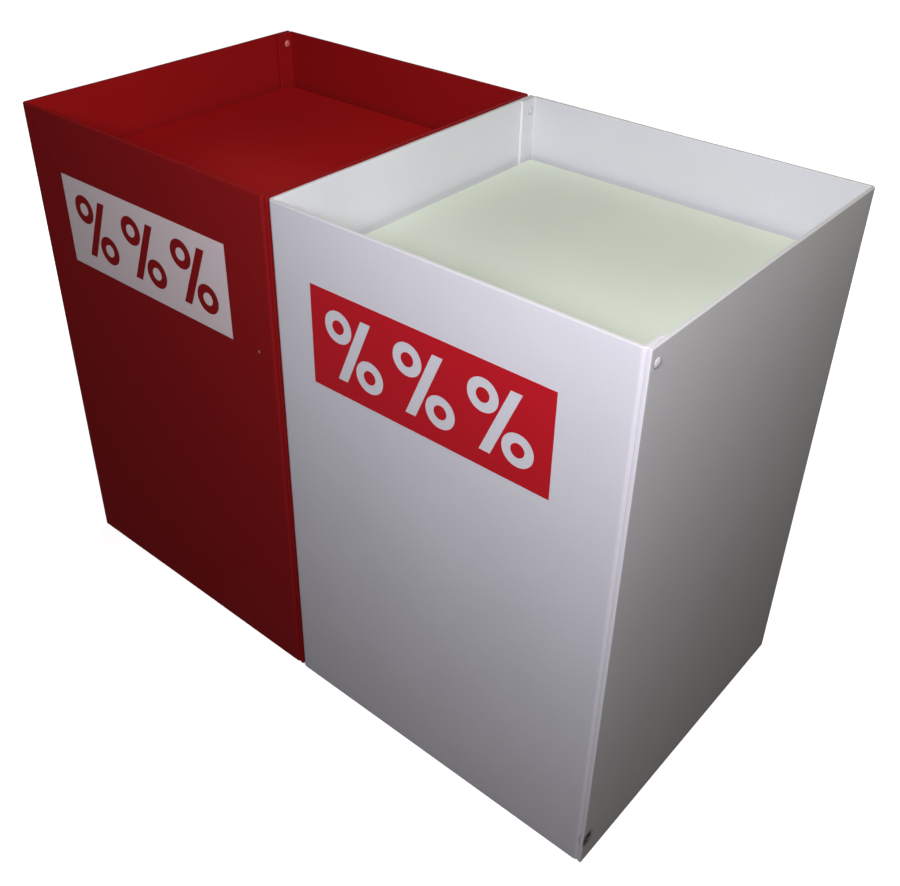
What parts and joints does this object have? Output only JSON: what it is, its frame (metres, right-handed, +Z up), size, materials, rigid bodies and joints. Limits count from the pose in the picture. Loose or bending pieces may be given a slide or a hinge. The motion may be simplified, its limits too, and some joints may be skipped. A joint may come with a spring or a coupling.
{
  "type": "cardboard display stand",
  "caption": "Floor display stand of open-topped folded board bins, side by side, each with a raised shelf, riveted corners and a label on the front.",
  "frame": {"origin": "on the floor, in the middle of the stand", "axes": "+X along the front from the red bin to the white bin, front faces -Y, +Z up"},
  "size_m": [1.0076, 0.5003, 0.75],
  "materials": {
    "red_board": "satin",
    "white_board": "satin",
    "red_shelf": "satin",
    "white_shelf": "satin",
    "plain_board": "matte",
    "red_rivets": "gloss",
    "white_rivets": "gloss",
    "dark_rivets": "gloss",
    "red_film": "satin",
    "white_film": "satin"
  },
  "bodies": {
    "root": {"red_front_left_sheet": "red_board", "red_back_right_sheet": "red_board", "red_shelf_tray": "red_shelf", "red_support_board_across": "plain_board", "red_support_board_deep": "plain_board", "red_upper_rivet_studs": "red_rivets", "red_lower_rivet_studs": "dark_rivets", "red_rivet_sockets": "red_rivets", "red_sign_label": "red_film", "white_front_left_sheet": "white_board", "white_back_right_sheet": "white_board", "white_shelf_tray": "white_shelf", "white_support_board_across": "plain_board", "white_support_board_deep": "plain_board", "white_upper_rivet_studs": "white_rivets", "white_lower_rivet_studs": "dark_rivets", "white_rivet_sockets": "white_rivets", "white_sign_label": "white_film"}
  },
  "joints": []
}
